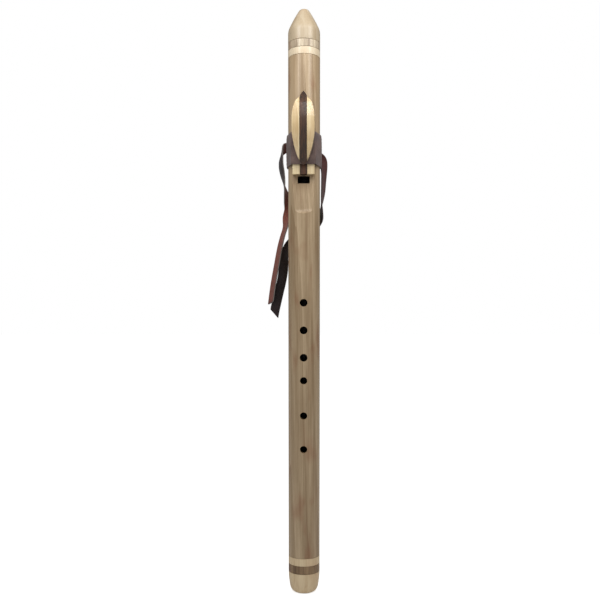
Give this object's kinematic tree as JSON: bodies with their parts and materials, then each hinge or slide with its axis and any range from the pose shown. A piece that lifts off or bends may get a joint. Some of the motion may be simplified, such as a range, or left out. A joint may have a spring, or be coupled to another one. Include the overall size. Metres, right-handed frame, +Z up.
{
  "type": "native american flute",
  "caption": "Two-chamber wooden end-blown flute: turned caps and rings, finger holes, sound hole, and a laminated block tied on with a leather wrap.",
  "frame": {"origin": "centre of the tube's flat foot face, on the tube's axis", "axes": "+Z up the tube from the foot to the mouth; the block, the sound hole and the finger holes face -Y; +X is to the right seen from the front"},
  "size_m": [0.0638, 0.0595, 0.6085],
  "materials": {
    "mouth_cap": "oiled maple",
    "mouth_dark_ring": "oiled dark walnut",
    "mouth_light_ring": "oiled maple",
    "front_shell": "oiled walnut with lengthwise grain",
    "back_shell": "oiled walnut with lengthwise grain",
    "chamber_plug": "plain walnut",
    "foot_light_ring": "oiled maple",
    "foot_dark_ring": "oiled dark walnut",
    "foot_cap": "oiled maple",
    "block_core": "oiled dark walnut",
    "block_left_cheek": "oiled maple",
    "block_right_cheek": "oiled maple",
    "leather_wrap": "dark brown leather, grain side out",
    "tie_knot": "dark brown leather",
    "tie_left_tail": "dark grain side, rust flesh side",
    "tie_right_tail": "dark grain side, rust flesh side"
  },
  "bodies": {
    "flute": {"mouth_cap": "mouth_cap", "mouth_dark_ring": "mouth_dark_ring", "mouth_light_ring": "mouth_light_ring", "front_shell": "front_shell", "back_shell": "back_shell", "chamber_plug": "chamber_plug", "foot_light_ring": "foot_light_ring", "foot_dark_ring": "foot_dark_ring", "foot_cap": "foot_cap", "leather_wrap": "leather_wrap", "tie_knot": "tie_knot", "tie_left_tail": "tie_left_tail", "tie_right_tail": "tie_right_tail"},
    "block": {"block_core": "block_core", "block_left_cheek": "block_left_cheek", "block_right_cheek": "block_right_cheek"}
  },
  "joints": [
    {"name": "block_slide", "type": "slide", "parent": "flute", "child": "block", "axis": [0, 0, 1], "range_m": [-0.002, 0.004]}
  ]
}
